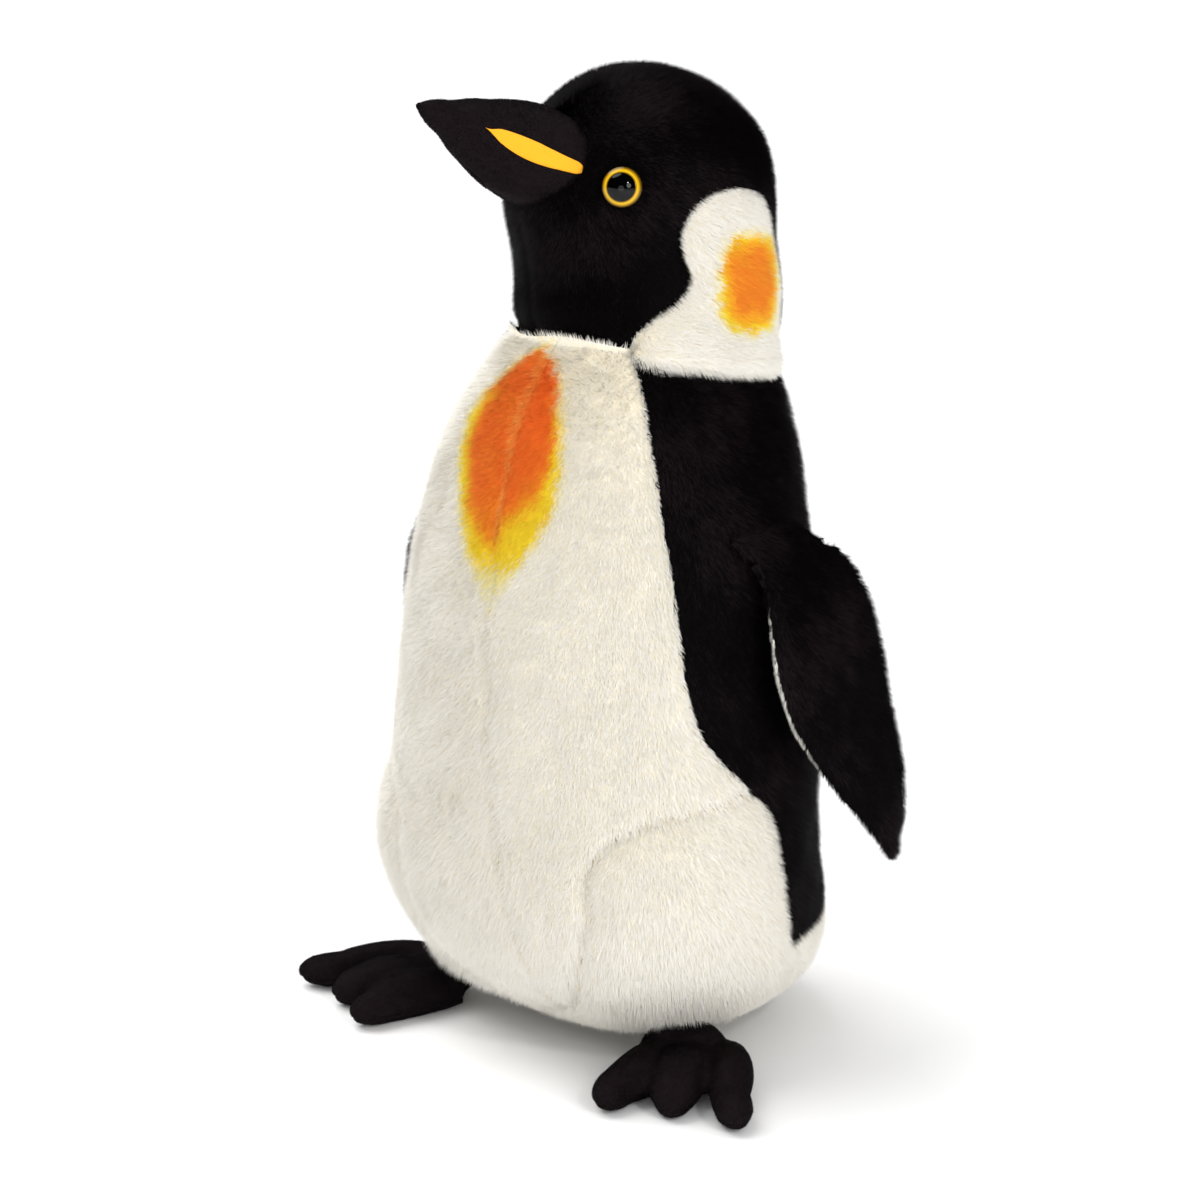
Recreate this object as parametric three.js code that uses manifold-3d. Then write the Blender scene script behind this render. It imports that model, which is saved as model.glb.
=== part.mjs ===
// A standing plush penguin: a stuffed body, a stuffed head that turns at the neck, a stitched
// beak, plastic safety eyes, two flippers and two three-toed feet. Millimetres, +Z up. The
// penguin faces -Y and its left side is +X. The origin is on the floor, below the shoulders.
import * as THREE from 'three';
import { LoftGeometry } from 'three/addons/geometries/LoftGeometry.js';
import { mergeVertices } from 'three/addons/utils/BufferGeometryUtils.js';
import Module from 'manifold-3d';

const wasm = await Module();
wasm.setup();

// ---- Driving dimensions ----

const GAP = 0.3; // between pieces that touch
const PLUSH = 5; // plush fabric of the body and head, with its pile pressed down
const FELT = 1.8; // short-nap fabric of the beak, flippers and feet
const ROUND = 32; // points around the outside of the body and the head
const INNER_ROUND = 16; // and around their stuffing
const SMALL_ROUND = 20; // and around the eyes and the beak
const REACH = 400; // cutting blocks reach past the whole toy
const THINNEST = 0.8; // least half width of a tapering tip

// Body sections from the floor to the neck seam: height, middle of the depth, half width,
// half depth, and how far the front edge is tipped up in degrees.
const NECK = { height: 436, middle: 36, radius: 86, tilt: 8 };
const BODY = [
  [0, 42, 62, 62, 0],
  [7, 41, 80, 80, 0],
  [22, 34, 102, 98, 0],
  [40, 23, 126, 114, 0],
  [62, 13, 138, 126, 0],
  [88, 6, 142, 131, 0],
  [115, 0, 143, 132, 0],
  [142, -1, 142, 130, 0],
  [168, 0, 141, 128, 0],
  [195, 0, 141, 128, 0],
  [230, 2, 139, 127, 0],
  [270, 4, 137, 125, 0],
  [310, 6, 133, 121, 0],
  [345, 9, 125, 115, 1],
  [378, 13, 116, 108, 3],
  [402, 19, 106, 100, 5],
  [420, 27, 96, 93, 7],
  [NECK.height, NECK.middle, NECK.radius, NECK.radius, NECK.tilt],
];

// The thighs swell out of the body on either side of the belly.
const THIGH = { angle: 58, spread: 42, height: 120, rise: 85, swell: 11 };

// Seams of the body in side view, as [y, z] points.
const BACK_EDGE = [[-30, 460], [-40, 431], [-52, 405], [-60, 364], [-63, 320], [-64, 262],
  [-58, 224], [-40, 201], [-18, 186], [-6, 158], [0, 120], [12, 70]];
const THIGH_EDGE = [[-60, 15], [-80, 38], [-99, 62], [-111, 95], [-114, 138], [-105, 162],
  [-85, 175], [-55, 180], [60, 180], [60, 15]];
const BASE_EDGE = [[-200, 20], [12, 26], [12, 77], [200, 77]];

// Head sections from the neck seam to the crown, along the neck's axis: height, middle of the
// depth, half width, half depth, and how much the front narrows.
const HEAD_TURN = -20; // degrees, towards the penguin's right
const CROWN_SECTIONS = 3; // the topmost sections, whose lining also moves down
const HEAD = [
  [0, 0, 86, 86, 0],
  [12, 0, 84, 85, 0],
  [29, 0, 84, 85, 0],
  [51, -5, 83, 86, 0.02],
  [76, -12, 81, 88, 0.06],
  [98, -15, 80, 87, 0.1],
  [114, -14, 77, 83, 0.12],
  [128, -12, 71, 76, 0.12],
  [140, -11, 63, 68, 0.1],
  [150, -10, 53, 58, 0.08],
  [159, -10, 42, 47, 0.05],
  [166, -10, 29, 33, 0.03],
  [170, -10, 16, 18, 0],
  [171.5, -10, 6, 7, 0],
];
const CHEEK_EDGE = [[-46, -9], [-31, 14], [-19, 28], [-18, 45], [-25, 58], [-28, 71], [-22, 86],
  [-8, 97], [12, 102], [32, 98], [48, 84], [58, 62], [63, 35], [66, -9]];

// Beak sections along its own axis, from inside the face to the blunt tip: distance along,
// half width, height above the axis and below it.
const BEAK = { y: -80, z: 105, pitch: 16 };
const BEAK_SECTIONS = [
  [-30, 34, 25, 26],
  [-6, 45, 30, 31],
  [12, 43, 30, 31],
  [30, 35, 27, 28],
  [50, 25, 20, 22],
  [70, 15, 13, 14],
  [84, 8, 8, 8],
  [91, 4, 4, 4],
];
const STRIPE_EDGE = [[-134, 121], [-124, 121], [-112, 118], [-99, 112], [-80, 105], [-79, 99],
  [-94, 101], [-109, 104], [-123, 111]];
const STRIPE = 1.4; // felt of the beak's stripes

// Safety eyes: a domed plastic disc with a post through the plush, held by a lock washer.
const EYE = { x: 64, y: -62.5, z: 94, facing: 52, proud: 1.2, radius: 12, rim: 1.6, dome: 6.5,
  post: 2.5, postLength: 17 };
const WASHER = { outer: 9, inner: 2.9, thickness: 1.5, depth: 12 };

// Flipper sections from the shoulder seam down: height below the seam, front edge, back edge,
// thickness, and how far the middle stands out from the seam.
const SHOULDER = { x: 129.5, y: 5, z: 342 };
const FLIPPER = [
  [0, -41, 40, 5.5, 0],
  [-14, -34, 54, 8, 6],
  [-30, -31, 64, 11, 11.5],
  [-55, -33, 74, 15, 18],
  [-85, -32, 78, 18, 23],
  [-118, -20, 83, 18, 26],
  [-147, 0, 89, 16, 30],
  [-172, 22, 90, 13, 33],
  [-196, 46, 87, 10, 35],
  [-211, 59, 82, 7, 37],
  [-219, 67, 75, 5.5, 38],
];

const FLIPPER_ARC = [0.02, 0.13, 0.3, 0.5, 0.7, 0.87, 0.98]; // points round each face, of a half turn

// Feet: three toes fan out from each ankle. Toe sections: distance along, half width, half height.
const ANKLE = { x: 98, y: -41, z: 18, splay: 33 };
const TOES = [
  { root: [-20, 0], tip: [-44, 77] },
  { root: [-2, 0], tip: [0, 82] },
  { root: [22, 0], tip: [44, 95] },
];
const INSTEP = { length: 34, width: 34, height: 10, forward: 19, drop: 5 };
const HEEL = { width: 28, radius: 16 };
const TOE = [[0, 0.85, 0.85], [0.35, 0.95, 0.95], [0.8, 1, 1], [0.93, 0.75, 0.78], [1, 0.25, 0.25]];
const TOE_WIDTH = 13;
const TOE_HEIGHT = 12;
const TOE_FLAT = 1; // how much the floor flattens the toes
const SOLE_HEIGHT = 5;

// ---- Solids ----

const radians = THREE.MathUtils.degToRad;

function solidOf(geometry) {
  const bare = new THREE.BufferGeometry();
  bare.setAttribute('position', geometry.getAttribute('position'));
  bare.setIndex(geometry.getIndex());
  const merged = mergeVertices(bare, 1e-4);
  return new wasm.Manifold(new wasm.Mesh({
    numProp: 3,
    vertProperties: merged.attributes.position.array,
    triVerts: new Uint32Array(merged.index.array),
  }));
}

function addPiece(group, name, solid, material) {
  const { vertProperties, triVerts } = solid.getMesh();
  const geometry = new THREE.BufferGeometry();
  geometry.setAttribute('position', new THREE.BufferAttribute(vertProperties, 3));
  geometry.setIndex(new THREE.BufferAttribute(triVerts, 1));
  geometry.computeVertexNormals();
  const mesh = new THREE.Mesh(geometry, material);
  mesh.name = name;
  group.add(mesh);
}

function loft(sections) {
  return solidOf(new LoftGeometry(sections, { capStart: true, capEnd: true }));
}

function section(count, pointAt) {
  return Array.from({ length: count }, (_, i) => pointAt((i / count) * 2 * Math.PI));
}

// A block between two planes across X, Y or Z.
function block(axis, from, to) {
  const size = new THREE.Vector3(1, 1, 1).multiplyScalar(4 * REACH);
  const centre = new THREE.Vector3();
  size[axis] = to - from;
  centre[axis] = (from + to) / 2;
  return solidOf(new THREE.BoxGeometry(...size).translate(...centre));
}

const leftHalf = block('x', GAP / 2, REACH);
const rightHalf = block('x', -REACH, -GAP / 2);
const SIDES = [['left', leftHalf, 1], ['right', rightHalf, -1]];

// An outline in side view, as [y, z] points, cut through the whole width.
function sideCutter(outline) {
  const shape = new THREE.Shape(outline.map(([y, z]) => new THREE.Vector2(y, z)));
  const geometry = new THREE.ExtrudeGeometry(shape, { depth: 2 * REACH, bevelEnabled: false });
  geometry.translate(0, 0, -REACH).rotateX(Math.PI / 2).rotateZ(Math.PI / 2);
  return solidOf(geometry);
}

// The same outline with each point moved out from its middle, for the clearance at a seam.
function grown(outline) {
  const points = outline.map(([y, z]) => new THREE.Vector2(y, z));
  const middle = points.reduce((sum, p) => sum.add(p), new THREE.Vector2());
  middle.divideScalar(points.length);
  return points.map((p) => p.clone().sub(middle).setLength(GAP * 1.5).add(p).toArray());
}

const moved = (outline, y, z) => outline.map((p) => [p[0] + y, p[1] + z]);

// ---- Materials ----

const matte = (color, roughness) => new THREE.MeshStandardMaterial({ color, roughness, metalness: 0 });
const blackPlush = matte(0x17131a, 0.9);
const whitePlush = matte(0xf1ece0, 0.9);
const blackNap = matte(0x241e24, 0.85);
const yellowFelt = matte(0xf5b32a, 0.85);
const amberPlastic = matte(0xd9a520, 0.15);
const whitePlastic = matte(0xe8e8e4, 0.45);
const filling = matte(0xe6e6e2, 1);

const penguin = new THREE.Group();

// ---- Body ----

// 1 in the middle, falling smoothly to 0 at an offset of 1 on either side.
const hump = (offset) => (Math.abs(offset) < 1 ? Math.cos((offset * Math.PI) / 2) ** 2 : 0);

function bodyLoft(inset, extraTop = 0) {
  const count = inset > 0 ? INNER_ROUND : ROUND;
  const ringAt = ([height, middle, halfWidth, halfDepth, tilt]) => section(count, (angle) => {
    const fromFront = THREE.MathUtils.radToDeg(Math.min(angle, 2 * Math.PI - angle));
    const swell = THIGH.swell * hump((fromFront - THIGH.angle) / THIGH.spread)
      * hump((height - THIGH.height) / THIGH.rise);
    const forward = (halfDepth + swell - inset) * Math.cos(angle);
    return new THREE.Vector3(
      (halfWidth + swell - inset) * Math.sin(angle),
      middle - forward * Math.cos(radians(tilt)),
      Math.max(height, inset) + forward * Math.sin(radians(tilt)),
    );
  });
  const sections = BODY.map(ringAt);
  if (extraTop > 0) {
    const rise = new THREE.Vector3(0, Math.sin(radians(NECK.tilt)), Math.cos(radians(NECK.tilt)));
    sections.push(sections.at(-1).map((p) => p.clone().addScaledVector(rise, extraTop)));
  }
  return loft(sections);
}

const baseRegion = (lift) => [...moved(BASE_EDGE, 0, lift), [REACH, -REACH], [-REACH, -REACH]];
const backRegion = [...BACK_EDGE, [12, 0], [REACH, 0], [REACH, REACH * 2], [-30, REACH * 2]];

const torsoSkin = bodyLoft(0).subtract(bodyLoft(PLUSH, PLUSH));
const upperSkin = torsoSkin.subtract(sideCutter(baseRegion(GAP)));
const backSkin = upperSkin.intersect(sideCutter(moved(backRegion, GAP, 0)));
const frontSkin = upperSkin.subtract(sideCutter(backRegion));
addPiece(penguin, 'base_panel', torsoSkin.intersect(sideCutter(baseRegion(0))), whitePlush);
addPiece(penguin, 'torso_stuffing', bodyLoft(PLUSH + GAP), filling);
for (const [side, half] of SIDES) {
  const front = frontSkin.intersect(half);
  addPiece(penguin, `back_${side}`, backSkin.intersect(half), blackPlush);
  addPiece(penguin, `thigh_${side}`, front.intersect(sideCutter(THIGH_EDGE)), whitePlush);
  addPiece(penguin, `belly_${side}`, front.subtract(sideCutter(grown(THIGH_EDGE))), whitePlush);
}

// ---- Head, in the frame of the neck seam ----

const head = new THREE.Group();
head.position.set(0, NECK.middle, NECK.height);
head.rotation.set(radians(-NECK.tilt), 0, radians(HEAD_TURN), 'XYZ');
penguin.add(head);

function headLoft(inset, extraBottom = 0) {
  const crown = HEAD.length - CROWN_SECTIONS;
  const count = inset > 0 ? INNER_ROUND : ROUND;
  const ringAt = ([height, middle, halfWidth, halfDepth, narrowing], i) => section(count, (angle) => {
    const forward = Math.cos(angle);
    return new THREE.Vector3(
      Math.max(halfWidth - inset, THINNEST) * Math.sin(angle) * (1 - narrowing * forward),
      middle - Math.max(halfDepth - inset, THINNEST) * forward,
      Math.max(height - (i >= crown ? inset : 0), GAP),
    );
  });
  const sections = HEAD.map(ringAt);
  if (extraBottom > 0) sections.unshift(sections[0].map((p) => p.clone().setZ(-extraBottom)));
  return loft(sections);
}

const headShape = headLoft(0);
const headClearance = headLoft(-GAP, PLUSH);

// A piece in the frame of one eye, whose +X looks out of the head, moved to its place.
function atEye(geometry, sign) {
  const heading = sign > 0 ? EYE.facing - 90 : -90 - EYE.facing;
  const place = new THREE.Matrix4().makeRotationZ(radians(heading));
  place.setPosition(sign * EYE.x, EYE.y, EYE.z);
  return solidOf(geometry.applyMatrix4(place));
}

// A turned shape along the eye's axis, from [radius, distance out of the head] points.
function turned(profile) {
  const points = profile.map(([radius, out]) => new THREE.Vector2(radius, out));
  return new THREE.LatheGeometry(points, SMALL_ROUND).rotateZ(-Math.PI / 2);
}

function eyeShape() {
  const { proud, radius, rim, dome, post, postLength } = EYE;
  const arc = [0, 0.3, 0.55, 0.8].map((t) => t * Math.PI / 2)
    .map((a) => [radius * Math.cos(a), proud + rim + dome * Math.sin(a)]);
  return turned([[0, -postLength], [post, -postLength], [post, proud], [radius, proud], ...arc,
    [0, proud + rim + dome]]);
}

function washerShape() {
  const { outer, inner, thickness, depth } = WASHER;
  return turned([[inner, -depth], [outer, -depth], [outer, thickness - depth],
    [inner, thickness - depth], [inner, -depth]]);
}

// A hole along the eye's axis.
const drill = (radius, from, to) => turned([[0, from], [radius, from], [radius, to], [0, to]]);

let headSkin = headShape.subtract(headLoft(PLUSH, PLUSH));
let headStuffing = headLoft(PLUSH + GAP);
for (const [side, , sign] of SIDES) {
  headSkin = headSkin.subtract(atEye(drill(EYE.post + GAP, -EYE.postLength, EYE.postLength), sign));
  headStuffing = headStuffing.subtract(atEye(drill(WASHER.outer + GAP, -EYE.postLength - 1, 0), sign));
  addPiece(head, `eye_${side}`, atEye(eyeShape(), sign), amberPlastic);
  addPiece(head, `eye_washer_${side}`, atEye(washerShape(), sign), whitePlastic);
}
addPiece(head, 'head_stuffing', headStuffing, filling);
for (const [side, half] of SIDES) {
  const skin = headSkin.intersect(half);
  addPiece(head, `cheek_${side}`, skin.intersect(sideCutter(CHEEK_EDGE)), whitePlush);
  addPiece(head, `head_side_${side}`, skin.subtract(sideCutter(grown(CHEEK_EDGE))), blackPlush);
}

// ---- Beak ----

function beakLoft(inset) {
  const place = new THREE.Matrix4().makeRotationX(radians(-BEAK.pitch));
  place.setPosition(0, BEAK.y, BEAK.z);
  return loft(BEAK_SECTIONS.map(([along, halfWidth, above, below], i) => section(SMALL_ROUND, (angle) => {
    const up = Math.sin(angle);
    const end = i === BEAK_SECTIONS.length - 1 ? inset : 0;
    return new THREE.Vector3(
      (halfWidth - inset) * Math.cos(angle),
      end - along,
      ((up > 0 ? above : below) - inset) * up,
    ).applyMatrix4(place);
  })));
}

const beakSkin = beakLoft(0).subtract(beakLoft(FELT)).subtract(headClearance);
const stripeLayer = beakLoft(-GAP - STRIPE).subtract(beakLoft(-GAP)).subtract(headClearance);
addPiece(head, 'beak_stuffing', beakLoft(FELT + GAP).subtract(headClearance), filling);
for (const [side, half] of SIDES) {
  addPiece(head, `beak_${side}`, beakSkin.intersect(half), blackNap);
  const stripe = stripeLayer.intersect(half).intersect(sideCutter(STRIPE_EDGE));
  addPiece(head, `beak_stripe_${side}`, stripe, yellowFelt);
}

// ---- Flippers, in the frame of the shoulder seam ----

// Half of one section, from its front edge to its back edge, bulging out or in.
function flipperArc([height, front, back, thickness, bow], direction, inset) {
  return FLIPPER_ARC.map((t) => t * Math.PI).map((turn) => new THREE.Vector3(
    bow + direction * (GAP / 2 + Math.max(thickness / 2 - inset, THINNEST / 2) * Math.sin(turn)),
    (front + back) / 2 - ((back - front) / 2 - inset) * Math.cos(turn),
    height,
  ));
}

const fromTip = [...FLIPPER].reverse();

function flipperFace(direction) {
  return loft(fromTip.map((row) => {
    const ring = [...flipperArc(row, direction, 0), ...flipperArc(row, direction, FELT).reverse()];
    return direction > 0 ? ring : ring.reverse();
  }));
}

function flipperFilling() {
  const inset = FELT + 2 * GAP;
  return loft(fromTip.slice(1, -1).map((row) => (
    [...flipperArc(row, 1, inset), ...flipperArc(row, -1, inset).reverse()])));
}

for (const [side, , sign] of SIDES) {
  const flipper = new THREE.Group();
  flipper.position.set(sign * SHOULDER.x, SHOULDER.y, SHOULDER.z);
  flipper.scale.x = sign;
  penguin.add(flipper);
  addPiece(flipper, `flipper_outer_${side}`, flipperFace(1), blackPlush);
  addPiece(flipper, `flipper_lining_${side}`, flipperFace(-1), whitePlush);
  addPiece(flipper, `flipper_stuffing_${side}`, flipperFilling(), filling);
}

// ---- Feet, in the frame of the ankle ----

function footShape(inset) {
  const toeHeight = TOE_HEIGHT - TOE_FLAT - ANKLE.z;
  const heel = new THREE.SphereGeometry(1, 8, 6).rotateZ(Math.PI / 2);
  heel.scale(HEEL.width - inset, HEEL.radius - inset, HEEL.radius - inset);
  const instep = new THREE.SphereGeometry(1, 12, 6).rotateX(Math.PI / 2);
  instep.scale(INSTEP.width - inset, INSTEP.length - inset, INSTEP.height - inset);
  let foot = solidOf(heel).add(solidOf(instep.translate(0, -INSTEP.forward, -INSTEP.drop)));
  for (const { root, tip } of TOES) {
    const start = new THREE.Vector2(root[0], -root[1]);
    const run = new THREE.Vector2(tip[0], -tip[1]).sub(start);
    const length = run.length();
    const toe = loft(TOE.map(([along, wide, high]) => section(8, (turn) => new THREE.Vector3(
      Math.max(wide * TOE_WIDTH - inset, THINNEST) * Math.cos(turn),
      -inset - along * (length - 2 * inset),
      Math.max(high * TOE_HEIGHT - inset, THINNEST) * Math.sin(turn) + toeHeight,
    ).applyAxisAngle(new THREE.Vector3(0, 0, 1), run.angle() + Math.PI / 2)
      .add(new THREE.Vector3(start.x, start.y, 0)))));
    foot = foot.add(toe);
  }
  return foot.intersect(block('z', inset - ANKLE.z, REACH));
}

const footSkin = footShape(0).subtract(footShape(FELT));
for (const [side, , sign] of SIDES) {
  const foot = new THREE.Group();
  foot.position.set(sign * ANKLE.x, ANKLE.y, ANKLE.z);
  foot.rotation.z = sign * radians(ANKLE.splay);
  foot.scale.x = sign;
  penguin.add(foot);
  const seam = SOLE_HEIGHT - ANKLE.z;
  addPiece(foot, `foot_sole_${side}`, footSkin.intersect(block('z', -REACH, seam)), blackNap);
  addPiece(foot, `foot_upper_${side}`, footSkin.intersect(block('z', seam + GAP, REACH)), blackNap);
  addPiece(foot, `foot_stuffing_${side}`, footShape(FELT + GAP), filling);
}

export default penguin;
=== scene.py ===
"""A standing plush penguin: pile fabric, dyed patches, felt, stitching and glossy eyes around the CAD frame.
Metres, +Z up. The penguin faces -Y and its left side is +X."""
import math

import bpy
import numpy as np
from mathutils import Matrix, Vector
from mathutils.bvhtree import BVHTree


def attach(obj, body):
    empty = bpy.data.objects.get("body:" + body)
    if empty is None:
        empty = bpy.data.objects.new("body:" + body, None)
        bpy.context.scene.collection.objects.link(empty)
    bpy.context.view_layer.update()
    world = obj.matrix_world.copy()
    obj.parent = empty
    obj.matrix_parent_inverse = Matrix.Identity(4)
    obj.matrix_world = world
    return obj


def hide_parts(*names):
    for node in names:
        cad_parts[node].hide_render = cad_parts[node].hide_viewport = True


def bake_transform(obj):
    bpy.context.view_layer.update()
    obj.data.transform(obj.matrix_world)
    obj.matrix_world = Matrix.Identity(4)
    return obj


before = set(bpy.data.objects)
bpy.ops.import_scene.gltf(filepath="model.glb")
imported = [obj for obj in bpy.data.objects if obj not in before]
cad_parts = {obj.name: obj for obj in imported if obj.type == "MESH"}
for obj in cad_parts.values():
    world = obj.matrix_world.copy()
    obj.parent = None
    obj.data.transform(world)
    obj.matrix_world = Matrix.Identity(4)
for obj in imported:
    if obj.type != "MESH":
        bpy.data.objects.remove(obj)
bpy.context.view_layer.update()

MM = 0.001
SIDES = (("left", 1), ("right", -1))

# ---- Camera, floor and light ----

VIEW_TURN = math.radians(40.33)  # the camera stands to the penguin's left of straight ahead
VIEW_PITCH = math.radians(14.6)
VIEW_DISTANCE = 1.8228  # over the floor
VIEW_HEIGHT = 0.7513
LENS = 90.2
SHIFT = -0.005
FLOOR_SIZE = 30.0


def on_stage(forward, right, up):
    """A point given from the origin towards the camera, to its right and up."""
    towards = Vector((math.sin(VIEW_TURN), -math.cos(VIEW_TURN), 0))
    across = Vector((math.cos(VIEW_TURN), math.sin(VIEW_TURN), 0))
    return towards * forward + across * right + Vector((0, 0, up))


def positions(mesh):
    return np.array([v.co for v in mesh.vertices])


def add_object(name, data):
    made = bpy.data.objects.new(name, data)
    bpy.context.collection.objects.link(made)
    return made


def add_camera():
    data = bpy.data.cameras.new("camera")
    data.lens = LENS
    data.shift_x = SHIFT
    camera = add_object("camera", data)
    camera.location = on_stage(VIEW_DISTANCE, 0, VIEW_HEIGHT)
    camera.rotation_euler = (math.pi / 2 - VIEW_PITCH, 0, VIEW_TURN)
    bpy.context.scene.camera = camera


def add_light(name, place, size, power):
    data = bpy.data.lights.new(name, "AREA")
    data.shape = "DISK"
    data.size = size
    data.energy = power
    light = add_object(name, data)
    light.location = on_stage(*place)
    light.rotation_euler = (Vector((0, 0, 0.3)) - light.location).to_track_quat("-Z", "Y").to_euler()


def add_stage():
    mesh = bpy.data.meshes.new("floor")
    half = FLOOR_SIZE / 2
    corners = [(-half, -half, 0), (half, -half, 0), (half, half, 0), (-half, half, 0)]
    mesh.from_pydata(corners, [], [(0, 1, 2, 3)])
    floor = add_object("floor", mesh)
    mesh.materials.append(material("floor_paper", "#f0f0f0", roughness=0.9))
    world = bpy.data.worlds.new("studio")
    bpy.context.scene.world = world
    world.use_nodes = True
    background = world.node_tree.nodes["Background"]
    background.inputs["Color"].default_value = (1, 1, 1, 1)
    background.inputs["Strength"].default_value = 0.8
    world.cycles_visibility.glossy = False  # dark cloth and the eyes mirror the lamps and the floor only
    overhead = bpy.data.lights.new("overhead", "SUN")
    overhead.energy = 2.2
    overhead.angle = math.radians(50)
    sky = add_object("overhead", overhead)
    sky.rotation_euler = on_stage(-0.25, -0.5, 1).to_track_quat("Z", "Y").to_euler()
    add_light("softbox_right", (1.9, 1.2, 1.1), 1.0, 14)
    add_light("fill", (2.4, -0.5, 0.5), 1.4, 7)
    add_light("window", (2.0, 1.15, 1.9), 0.3, 12)
    bpy.context.scene.view_settings.view_transform = "Standard"


# ---- Colours and materials ----

def linear(code):
    """A #rrggbb colour as linear red, green, blue and alpha."""
    parts = [int(code[i:i + 2], 16) / 255 for i in (1, 3, 5)]
    return [p / 12.92 if p <= 0.04045 else ((p + 0.055) / 1.055) ** 2.4 for p in parts] + [1.0]


def material(name, code, roughness=0.8, specular=0.5, sheen=0.0, sheen_tint="#ffffff"):
    made = bpy.data.materials.new(name)
    made.use_nodes = True
    shader = made.node_tree.nodes["Principled BSDF"]
    shader.inputs["Base Color"].default_value = linear(code)
    shader.inputs["Roughness"].default_value = roughness
    shader.inputs["Specular IOR Level"].default_value = specular
    shader.inputs["Sheen Weight"].default_value = sheen
    shader.inputs["Sheen Roughness"].default_value = 0.4
    shader.inputs["Sheen Tint"].default_value = linear(sheen_tint)
    made.diffuse_color = linear(code)
    return made


PILE_COLOURS = {
    # The tan is painted shade for the seams' creases.
    "ivory": "#faf6eb", "ivory_bright": "#fefcf7", "ivory_warm": "#f8f1e1", "crease_shade": "#e2ca9a",
    "straw": "#fbf0a8", "yellow": "#ffe534", "amber": "#fdbb28", "marigold": "#ffb42a", "orange": "#fa9028",
    # Peach is used for a painted highlight beside the chest's seam.
    # The lighter black is a painted sheen on the black pile.
    "rust": "#fb7a28", "peach": "#fdab52", "coal": "#060304", "coal_sheen": "#1f171a",
}
SECOND_COLOURS = {"ivory": "#e6dcc2", "coal": "#140d11"}  # the other thread in the backing's knit
PILE_NAMES = list(PILE_COLOURS)
LIGHT_PILE = {"roughness": 0.8, "specular": 0.2, "sheen": 0.1}
DARK_PILE = {"roughness": 0.6, "specular": 0.05, "sheen": 0.02, "sheen_tint": "#c0a8b0"}
pile_materials = {}
cloths = {}


def pile_material(name):
    if name not in pile_materials:
        finish = DARK_PILE if name.startswith("coal") else LIGHT_PILE
        pile_materials[name] = material("pile_" + name, PILE_COLOURS[name], **finish)
    return pile_materials[name]


# ---- Vector helpers, on arrays of points ----

def dot(a, b):
    return (a * b).sum(-1, keepdims=True)


def unit(v):
    return v / np.maximum(np.linalg.norm(v, axis=-1, keepdims=True), 1e-12)


def tangent(direction, normal):
    return unit(direction - dot(direction, normal) * normal)


def ramp(low, high, x):
    t = np.clip((x - low) / (high - low), 0, 1)
    return t * t * (3 - 2 * t)


def bell(x, width):
    return np.exp(-((x / width) ** 2))


def ripple(points, wavelength, seed, count=9):
    """A smooth random wave over space, about -1 to 1."""
    rng = np.random.default_rng(seed)
    total = np.zeros(points.shape[:-1])
    for _ in range(count):
        heading = rng.normal(size=3)
        heading *= 2 * math.pi / (wavelength * rng.uniform(0.7, 1.5) * np.linalg.norm(heading))
        total += np.sin(points @ heading + rng.uniform(0, 2 * math.pi))
    return total / math.sqrt(2 * count)


def ripple_vector(points, wavelength, seed):
    return np.stack([ripple(points, wavelength, seed + k) for k in range(3)], axis=-1)


def stacked(*coordinates):
    """Coordinates, broadcast together, as points."""
    return np.stack(np.broadcast_arrays(*coordinates), -1)


def turns(count):
    """Angles once around, as a column."""
    return (np.arange(count) / count * 2 * math.pi)[:, None]


def smoothing(sigma):
    """How far a Gaussian reaches, its steps and their weights."""
    reach = int(3 * sigma) + 1
    steps = np.arange(-reach, reach + 1)
    kernel = np.exp(-0.5 * (steps / sigma) ** 2)
    return reach, steps, kernel / kernel.sum()


def nearest(points, marks):
    """The distance from each point to the nearest mark."""
    found = np.empty(len(points))
    for start in range(0, len(points), 1000):
        gap = points[start:start + 1000, None, :] - marks[None]
        found[start:start + 1000] = np.sqrt((gap ** 2).sum(-1).min(1))
    return found


# ---- Skins: smooth grids sampled from the CAD's outer surfaces ----

SKIRT_ROWS = 7  # added past the neck's ring, on the body's skin and on the head's


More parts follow.
